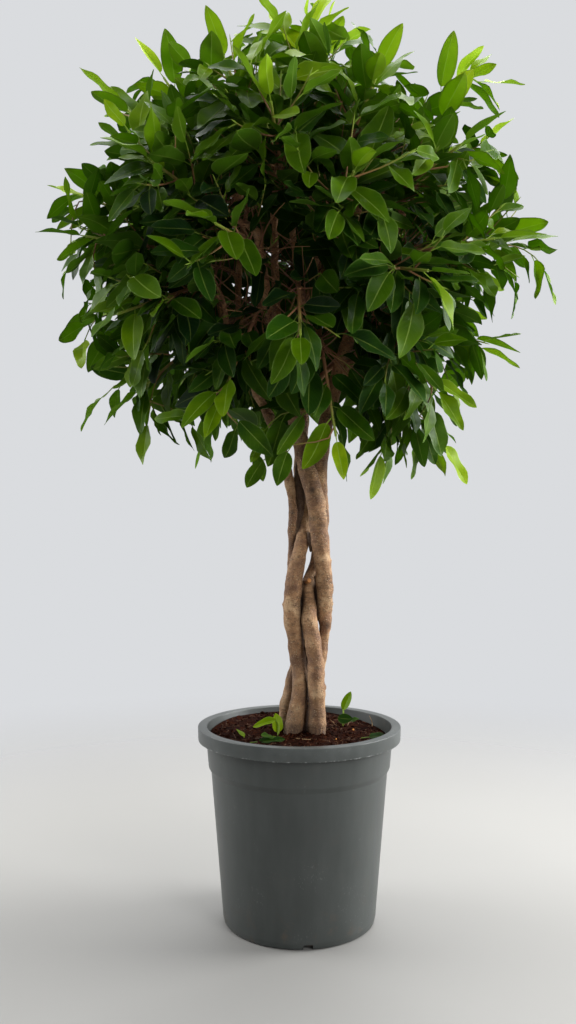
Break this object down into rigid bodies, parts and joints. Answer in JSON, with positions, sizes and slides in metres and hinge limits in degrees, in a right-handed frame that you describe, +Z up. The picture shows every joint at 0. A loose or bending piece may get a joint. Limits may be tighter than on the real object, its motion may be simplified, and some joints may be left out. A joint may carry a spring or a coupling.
{
  "type": "potted ficus",
  "caption": "Small ficus tree: four stems braided into one trunk under a round leafy crown, standing in peat in a grey plastic nursery pot.",
  "frame": {"origin": "centre of the pot's flat underside", "axes": "+Z up along the pot's axis, -Y towards the side that the picture shows, +X to that view's right"},
  "size_m": [0.7776, 0.7261, 1.3997],
  "materials": {
    "pot_plastic": "moulded grey polypropylene, satin",
    "peat": "moist crumbly peat",
    "bark": "smooth tan bark with pale pores",
    "leaf": "waxy green leaf"
  },
  "bodies": {
    "root": {"fallen_leaf_front": "leaf", "fallen_leaf_right": "leaf", "leafy_shoot_01": "leaf", "leafy_shoot_02": "leaf", "leafy_shoot_03": "leaf", "leafy_shoot_04": "leaf", "leafy_shoot_05": "leaf", "leafy_shoot_06": "leaf", "leafy_shoot_07": "leaf", "leafy_shoot_08": "leaf", "leafy_shoot_09": "leaf", "leafy_shoot_10": "leaf", "leafy_shoot_11": "leaf", "leafy_shoot_12": "leaf", "leafy_shoot_13": "leaf", "leafy_shoot_14": "leaf", "leafy_shoot_15": "leaf", "leafy_shoot_16": "leaf", "leafy_shoot_17": "leaf", "leafy_shoot_18": "leaf", "leafy_shoot_19": "leaf", "leafy_shoot_20": "leaf", "leafy_shoot_21": "leaf", "leafy_shoot_22": "leaf", "leafy_shoot_23": "leaf", "leafy_shoot_24": "leaf", "leafy_shoot_25": "leaf", "leafy_shoot_26": "leaf", "leafy_shoot_27": "leaf", "leafy_shoot_28": "leaf", "leafy_shoot_29": "leaf", "leafy_shoot_30": "leaf", "leafy_shoot_31": "leaf", "leafy_shoot_32": "leaf", "leafy_shoot_33": "leaf", "leafy_shoot_34": "leaf", "leafy_shoot_35": "leaf", "leafy_shoot_36": "leaf", "leafy_shoot_37": "leaf", "leafy_shoot_38": "leaf", "leafy_shoot_39": "leaf", "leafy_shoot_40": "leaf", "leafy_shoot_41": "leaf", "leafy_shoot_42": "leaf", "leafy_shoot_43": "leaf", "leafy_shoot_44": "leaf", "leafy_shoot_45": "leaf", "pot": "pot_plastic", "soil": "peat", "stem_back": "bark", "stem_front": "bark", "stem_left": "bark", "stem_right": "bark", "young_shoot_left": "leaf", "young_shoot_right": "leaf"}
  },
  "joints": []
}
